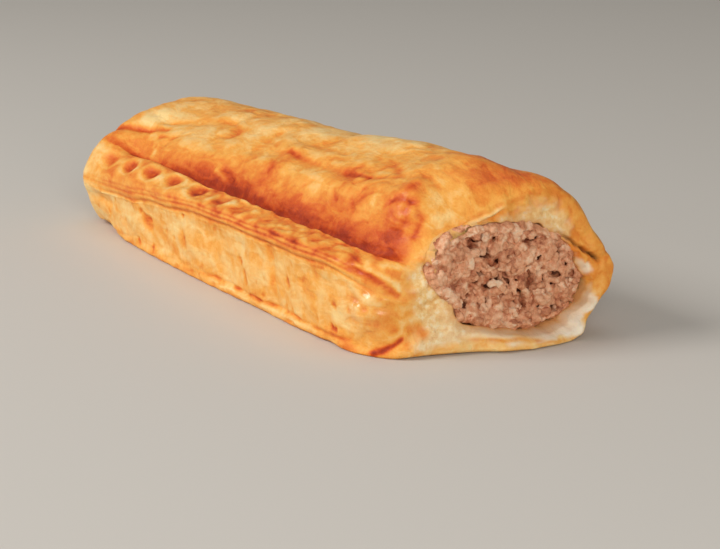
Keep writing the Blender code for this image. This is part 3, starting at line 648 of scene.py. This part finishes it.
def make_object(name, vertices, faces, values):
    """An object from vertices in the roll's millimetres, with named values at its vertices."""
    mesh = bpy.data.meshes.new(name)
    mesh.from_pydata(((vertices + TO_MIDDLE) * MM).tolist(), [], faces)
    for value_name, value in values.items():
        mesh.attributes.new(value_name, "FLOAT", "POINT").data.foreach_set("value", value.astype(np.float32))
    mesh.shade_smooth()
    mesh.update()
    made = bpy.data.objects.new(name, mesh)
    bpy.context.scene.collection.objects.link(made)
    return made


inside = np.zeros(len(hollow) * len(rim))
ends = np.zeros(2)
vertices, faces = closed_shell([*crust, *torn, *hollow])
vertices = np.clip(vertices, *(np.array(cad_bounds) / MM - TO_MIDDLE))
pastry = make_object("pastry_case", vertices, faces, {
    "browning": np.concatenate((browning.ravel(), torn_browning.ravel(), inside + 0.2, ends + 0.3)),
    "torn": np.concatenate((crust_torn.ravel(), torn_torn.ravel(), inside + 1.0, ends)),
    "glaze": np.concatenate((glaze.ravel(), (0.5 * curl).ravel(), inside, ends)),
    "pale": np.concatenate((np.full(browning.size, 0.5), np.tile(share_by(PALENESS, rim_way), TORN_ROWS), inside, ends)),
    "soaked": np.concatenate((np.zeros(browning.size), soaked.ravel(), inside + 1.0, ends)),
    "cracked": np.concatenate((np.zeros(browning.size), (crack * torn_fade).ravel(), inside, ends)),
})


def linear(hex_colour):
    """A colour written as sRGB hex, as linear light with full alpha."""
    parts = [int(hex_colour[i:i + 2], 16) / 255.0 for i in (1, 3, 5)]
    return tuple(p / 12.92 if p <= 0.04045 else ((p + 0.055) / 1.055) ** 2.4 for p in parts) + (1.0,)


def add(tree, kind, settings=(), links=()):
    """Adds a node. Settings are (input or property, value) and links are (input, output socket)."""
    node = tree.nodes.new(kind)
    for name, value in settings:
        if isinstance(name, int) or name in node.inputs:
            node.inputs[name].default_value = value
        elif name == "stops":
            elements = node.color_ramp.elements
            for _ in value[2:]:
                elements.new(0.5)
            for element, (place, colour) in zip(elements, value):
                element.position, element.color = place, linear(colour)
        else:
            setattr(node, name, value)
    for name, source in links:
        tree.links.new(source, node.inputs[name])
    return node


baked = bpy.data.materials.new("egg_washed_puff_pastry")
baked.use_nodes = True
tree = baked.node_tree
shader = tree.nodes["Principled BSDF"]
place = add(tree, "ShaderNodeTexCoord").outputs["Object"]
brown = add(tree, "ShaderNodeAttribute", (("attribute_name", "browning"),)).outputs["Fac"]
torn_value = add(tree, "ShaderNodeAttribute", (("attribute_name", "torn"),)).outputs["Fac"]
soaked_value = add(tree, "ShaderNodeAttribute", (("attribute_name", "soaked"),)).outputs["Fac"]
fine = add(
    tree, "ShaderNodeTexNoise", (("Scale", 1.0 / (1.5 * MM)), ("Detail", 6.0), ("Roughness", 0.65)), (("Vector", place),)
)
tone_value = add(
    tree, "ShaderNodeMath", (("operation", "MULTIPLY_ADD"), (1, 0.26)), ((0, fine.outputs["Fac"]), (2, brown))
)
speckle = add(
    tree, "ShaderNodeTexNoise", (("Scale", 1.0 / (0.45 * MM)), ("Detail", 3.0), ("Roughness", 0.6)), (("Vector", place),)
)
tone_value = add(
    tree, "ShaderNodeMath", (("operation", "MULTIPLY_ADD"), (1, 0.16)), ((0, speckle.outputs["Fac"]), (2, tone_value.outputs[0]))
)
drawn_out = add(tree, "ShaderNodeMapping", (("Scale", (0.45, 1.0, 1.0)),), (("Vector", place),))
ripple = add(
    tree, "ShaderNodeTexNoise", (("Scale", 1.0 / (2.6 * MM)), ("Detail", 4.0), ("Roughness", 0.55), ("Distortion", 0.7)),
    (("Vector", drawn_out.outputs[0]),),
)
blotch = add(
    tree, "ShaderNodeMapRange", (("interpolation_type", "SMOOTHSTEP"), ("From Min", 0.4), ("From Max", 0.6)),
    (("Value", ripple.outputs["Fac"]),),
)
tone_value = add(
    tree, "ShaderNodeMath", (("operation", "MULTIPLY_ADD"), (1, 0.12)), ((0, blotch.outputs[0]), (2, tone_value.outputs[0]))
)
tone_value = add(tree, "ShaderNodeMath", (("operation", "SUBTRACT"), (1, 0.27)), ((0, tone_value.outputs[0]),))
crust_colour = add(tree, "ShaderNodeValToRGB", (("stops", (
    (0.0, "#f9d28c"), (0.14, "#f7c071"), (0.28, "#f3aa4c"), (0.42, "#eb9037"), (0.56, "#e07329"), (0.7, "#cd5216"),
    (0.84, "#a9350a"), (1.0, "#882508"),
)),), ((0, tone_value.outputs[0]),))
dough_colour = add(tree, "ShaderNodeValToRGB", (("stops", (
    (0.36, "#e8b166"), (0.5, "#f6cf8a"), (0.62, "#fce6b8"),
)),), ((0, fine.outputs["Fac"]),))
pale_value = add(tree, "ShaderNodeAttribute", (("attribute_name", "pale"),)).outputs["Fac"]
paler_colour = add(tree, "ShaderNodeMix", (("data_type", "RGBA"), (7, linear("#fff2dc"))), (
    ("Factor", pale_value), (6, dough_colour.outputs[0]),
))
soaked_colour = add(tree, "ShaderNodeMix", (("data_type", "RGBA"), (7, linear("#dfa869"))), (
    ("Factor", soaked_value), (6, paler_colour.outputs[2]),
))
surface = add(tree, "ShaderNodeMix", (("data_type", "RGBA"),), (
    ("Factor", torn_value), (6, crust_colour.outputs[0]), (7, soaked_colour.outputs[2]),
))
# Painted shade darkens the crack.
crack_shade_value = add(tree, "ShaderNodeAttribute", (("attribute_name", "cracked"),)).outputs["Fac"]
surface = add(tree, "ShaderNodeMix", (("data_type", "RGBA"), (7, linear("#55301a"))), (
    ("Factor", crack_shade_value), (6, surface.outputs[2]),
))
tree.links.new(surface.outputs[2], shader.inputs["Base Color"])
shader.inputs["Roughness"].default_value = 0.48
shader.inputs["Specular IOR Level"].default_value = 0.2
tree.links.new(add(tree, "ShaderNodeAttribute", (("attribute_name", "glaze"),)).outputs["Fac"], shader.inputs["Coat Weight"])
shader.inputs["Coat Roughness"].default_value = 0.2
shader.inputs["Subsurface Weight"].default_value = 0.12
shader.inputs["Subsurface Radius"].default_value = (1.0, 0.55, 0.3)
shader.inputs["Subsurface Scale"].default_value = 0.0007
height = add(
    tree, "ShaderNodeMath", (("operation", "MULTIPLY_ADD"), (1, -1.2)), ((0, ripple.outputs["Fac"]), (2, fine.outputs["Fac"]))
)
bump = add(tree, "ShaderNodeBump", (("Strength", 0.7), ("Distance", 0.0004)), (("Height", height.outputs[0]),))
tree.links.new(bump.outputs[0], shader.inputs["Normal"])
pastry.data.materials.append(baked)
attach(pastry, "root")
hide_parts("pastry")


# The sausage meat is minced pork, cooked in the case. Where it is bitten it breaks into short curled strands and
# crumbs, with gaps between them darkened by painted shade, and paler bits of fat. The strands are runs of balls, all
# fused at the face.
MEAT_FACE = 60.5
FACE_THICKNESS = 6.0
STRAND_COUNT = 1000
BALLS_PER_STRAND = 6
BALL_SIZES = (0.34, 1.0)
# Gaps where the meat has broken away deeper, as places (y, z) on its face.
GAPS = (
    (-4.2, 20.9), (-2.0, 18.8), (2.0, 18.9), (7.3, 21.2), (13.2, 21.1), (15.6, 16.4), (-2.4, 14.9), (0.7, 9.7),
    (3.8, 11.7), (8.4, 8.6), (-4.4, 12.3), (-5.5, 7.9), (22.0, 9.5), (12.0, 13.0),
)
GAP_RADIUS = 1.1
GAP_DEPTH = 1.1
FUSE_SIZE = 0.2
draw = random.Random(11)
ball = bmesh.new()
bmesh.ops.create_icosphere(ball, subdivisions=2, radius=1.0)
ball_points = np.array([tuple(vert.co) for vert in ball.verts])
ball_faces = np.array([[vert.index for vert in face.verts] for face in ball.faces])
ball.free()
directions = np.arange(0.0, 360.0, 3.0)
face_outline = core_outline(MEAT_FACE, directions, 1.0, 0.1)
face_radius = np.linalg.norm(face_outline - np.array(BITE_MIDDLE), axis=-1)


def held_in(y, z, margin):
    """The nearest place to (y, z) that lies this far inside the meat's outline."""
    away = math.hypot(y - BITE_MIDDLE[0], z - BITE_MIDDLE[1])
    angle = math.degrees(math.atan2(z - BITE_MIDDLE[1], y - BITE_MIDDLE[0])) % 360.0
    spilt = 1.3 * math.exp(-(((angle - 173.0) / 12.0) ** 2))
    way = math.radians(angle)
    spilt += 0.8 * noise.noise(Vector((9.0, 5.0 * math.cos(way), 5.0 * math.sin(way)))) - 0.15
    most = float(np.interp(angle, [*directions, 360.0], [*face_radius, face_radius[0]])) - margin + spilt
    share = min(most / away, 1.0) if away else 1.0
    return BITE_MIDDLE[0] + (y - BITE_MIDDLE[0]) * share, BITE_MIDDLE[1] + (z - BITE_MIDDLE[1]) * share


balls = []
for _ in range(STRAND_COUNT):
    angle = draw.uniform(0.0, 2.0 * math.pi)
    away = 17.0 * math.sqrt(draw.random())
    y, z = BITE_MIDDLE[0] + away * math.cos(angle), BITE_MIDDLE[1] + away * math.sin(angle)
    size = BALL_SIZES[0] + (BALL_SIZES[1] - BALL_SIZES[0]) * draw.random() ** 1.7
    heading = Vector((draw.gauss(0.0, 0.6), draw.gauss(0.0, 1.0), draw.gauss(0.0, 1.0))).normalized()
    clump = noise.noise(Vector((3.0, y / 2.8, z / 2.8)))
    broken = max(math.exp(-(math.hypot(y - gap_y, z - gap_z) / GAP_RADIUS) ** 2) for gap_y, gap_z in GAPS)
    middle = Vector((MEAT_FACE + 1.5 * clump + 0.3 - 1.9 * draw.random() ** 1.2 - GAP_DEPTH * broken, y, z))
    tint = draw.random() + 0.5 * clump
    for step in range(BALLS_PER_STRAND):
        y, z = held_in(middle.y, middle.z, size)
        balls.append((min(middle.x, MEAT_FACE + 1.3), y, z, size, tint))
        middle = middle + heading * size * 0.9
        heading = (heading + 0.6 * Vector((draw.gauss(0.0, 1.0), draw.gauss(0.0, 1.0), draw.gauss(0.0, 1.0)))).normalized()
        size *= draw.uniform(0.85, 1.1)
balls = np.array(balls)
points = (balls[:, None, :3] + ball_points * balls[:, None, 3:4]).reshape(-1, 3)
faces = (ball_faces + len(ball_points) * np.arange(len(balls))[:, None, None]).reshape(-1, 3).tolist()
core_x = (MEAT_FACE - FACE_THICKNESS, MEAT_FACE - 1.5)
core, core_faces = closed_shell([
    np.column_stack((np.full(len(directions), x), core_outline(x, directions, 1.0, 0.35))) for x in core_x
])
faces += [[index + len(points) for index in face] for face in core_faces]
loose = make_object("loose_strands", np.concatenate((points, core)), faces, {})
fuse = loose.modifiers.new("fuse", "REMESH")
fuse.mode = "VOXEL"
fuse.voxel_size = FUSE_SIZE * MM
fused = bpy.data.meshes.new_from_object(loose.evaluated_get(bpy.context.evaluated_depsgraph_get()))
bpy.data.objects.remove(loose)
face_points = np.empty(len(fused.vertices) * 3)
fused.vertices.foreach_get("co", face_points)
face_points = face_points.reshape(-1, 3) / MM - TO_MIDDLE
face_points += 0.12 * np.stack([noise_at(face_points, 0.45, seed) for seed in (64.0, 74.0, 84.0)], axis=-1)
face_points += 0.26 * np.stack([noise_at(face_points, 0.7, seed) for seed in (4.0, 14.0, 24.0)], axis=-1)
face_points += 0.18 * np.stack([noise_at(face_points, 1.7, seed) for seed in (34.0, 44.0, 54.0)], axis=-1)
face_faces = [list(polygon.vertices) for polygon in fused.polygons]
bpy.data.meshes.remove(fused)

# Behind the face the meat is one plain run with a rounded end.
BODY_X = (MEAT_BAKED_END, -30.0, 0.0, *np.linspace(CORE_BLEND_START, MEAT_FACE - 3.0, 12))
body_rows = [
    np.column_stack((np.full(len(directions), x), core_outline(x, directions, size, 0.35)))
    for x, size in (*((MEAT_BAKED_END - further, size) for size, further in ((0.7, 2.0), (0.92, 1.1))), *((x, 1.0) for x in BODY_X))
]
body_points, body_faces = closed_shell(body_rows)
ball_tree = mathutils.kdtree.KDTree(len(balls))
for i, place_of_ball in enumerate(balls[:, :3].tolist()):
    ball_tree.insert(place_of_ball, i)
ball_tree.balance()
nearest = np.array([ball_tree.find(point)[1] for point in face_points.tolist()])
# Painted shade: the meat's colour darkens the further a point lies back from this front, into its gaps and recesses.
front = MEAT_FACE + 0.9 * np.array([noise.noise((3.0, y / 2.8, z / 2.8)) for _, y, z in face_points.tolist()])
deep = np.clip((front + 0.1 - face_points[:, 0]) / 2.0, 0.0, 1.0)
# The meat's edge lies a little further back, so that the dough comes over it.
face_way = np.arctan2(face_points[:, 2] - BITE_MIDDLE[1], face_points[:, 1] - BITE_MIDDLE[0])
face_way = np.degrees(face_way) % 360.0
face_reach = np.hypot(face_points[:, 1] - BITE_MIDDLE[0], face_points[:, 2] - BITE_MIDDLE[1])
face_reach /= np.interp(face_way, [*directions, 360.0], [*face_radius, face_radius[0]])
face_points[:, 0] -= ease((face_reach - 0.84) / 0.16) * share_by(
    ((0.0, 1.1), (140.0, 1.0), (160.0, 0.2), (190.0, 0.2), (210.0, 0.8), (260.0, 1.2), (360.0, 1.1)), face_way
)
meat = make_object(
    "minced_meat",
    np.concatenate((face_points, body_points)),
    face_faces + [[index + len(face_points) for index in face] for face in body_faces],
    {
        "tint": np.concatenate((balls[nearest, 4], np.full(len(body_points), 0.5))),
        "deep": np.concatenate((deep, np.full(len(body_points), 0.5))),
    },
)

cooked = bpy.data.materials.new("cooked_minced_pork")
cooked.use_nodes = True
tree = cooked.node_tree
shader = tree.nodes["Principled BSDF"]
place = add(tree, "ShaderNodeTexCoord").outputs["Object"]
recess_shade_value = add(tree, "ShaderNodeAttribute", (("attribute_name", "deep"),)).outputs["Fac"]
tint_value = add(tree, "ShaderNodeAttribute", (("attribute_name", "tint"),)).outputs["Fac"]
bits = add(
    tree, "ShaderNodeTexNoise", (("Scale", 1.0 / (1.1 * MM)), ("Detail", 6.0), ("Roughness", 0.75)), (("Vector", place),)
)
mixed = add(tree, "ShaderNodeMath", (("operation", "MULTIPLY_ADD"), (1, 0.3)), ((0, tint_value), (2, bits.outputs["Fac"])))
meat_colour = add(tree, "ShaderNodeValToRGB", (("stops", (
    (0.4, "#a46144"), (0.54, "#d28e66"), (0.66, "#e4a67d"), (0.8, "#f0bf98"), (0.95, "#f8d9b8"),
)),), ((0, mixed.outputs[0]),))
# Painted shade, multiplied over the meat's colour: darker the deeper a point lies in its gaps.
recess_shade_colour = add(tree, "ShaderNodeValToRGB", (("stops", (
    (0.0, "#ffffff"), (0.4, "#dcc0b0"), (0.9, "#6d4533"),
)),), ((0, recess_shade_value),))
meat_surface = add(
    tree, "ShaderNodeMix", (("data_type", "RGBA"), ("blend_type", "MULTIPLY"), ("Factor", 1.0)),
    ((6, meat_colour.outputs[0]), (7, recess_shade_colour.outputs[0])),
)
tree.links.new(meat_surface.outputs[2], shader.inputs["Base Color"])
shader.inputs["Roughness"].default_value = 0.6
shader.inputs["Specular IOR Level"].default_value = 0.3
shader.inputs["Subsurface Weight"].default_value = 0.08
shader.inputs["Subsurface Radius"].default_value = (1.0, 0.4, 0.25)
shader.inputs["Subsurface Scale"].default_value = 0.0005
bump = add(tree, "ShaderNodeBump", (("Strength", 0.8), ("Distance", 0.0004)), (("Height", bits.outputs["Fac"]),))
tree.links.new(bump.outputs[0], shader.inputs["Normal"])
meat.data.materials.append(cooked)
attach(meat, "root")
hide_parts("sausage_meat")


# A plain pale floor and soft studio light from the seam's side, above and in front.
floor_mesh = bmesh.new()
bmesh.ops.create_grid(floor_mesh, x_segments=1, y_segments=1, size=3.0)
floor_data = bpy.data.meshes.new("floor")
floor_mesh.to_mesh(floor_data)
floor_mesh.free()
floor = bpy.data.objects.new("floor", floor_data)
bpy.context.scene.collection.objects.link(floor)
floor_finish = bpy.data.materials.new("pale_matt_floor")
floor_finish.use_nodes = True
floor_shader = floor_finish.node_tree.nodes["Principled BSDF"]
floor_shader.inputs["Base Color"].default_value = linear("#cfc9c0")
floor_shader.inputs["Roughness"].default_value = 0.8
floor.data.materials.append(floor_finish)

world = bpy.data.worlds.new("studio")
bpy.context.scene.world = world
world.use_nodes = True
world.node_tree.nodes["Background"].inputs["Color"].default_value = linear("#f4f1ec")
world.node_tree.nodes["Background"].inputs["Strength"].default_value = 0.25
LIGHTS = (
    ("key", (-0.2, -0.65, 0.52), 0.35, 4.25),
    ("low", (-0.5, -0.62, 0.14), 0.2, 0.45),
    ("top", (-0.1, 0.1, 0.9), 0.5, 0.8),
    ("front", (0.75, -0.3, 0.3), 0.35, 3.15),
)
for light_name, light_place, light_size, power in LIGHTS:
    light_data = bpy.data.lights.new(light_name, "AREA")
    light_data.size = light_size
    light_data.energy = power
    light = bpy.data.objects.new(light_name, light_data)
    light.location = light_place
    light.rotation_euler = (-Vector(light_place)).to_track_quat("-Z", "Y").to_euler()
    bpy.context.scene.collection.objects.link(light)
bpy.context.scene.view_settings.view_transform = "Standard"
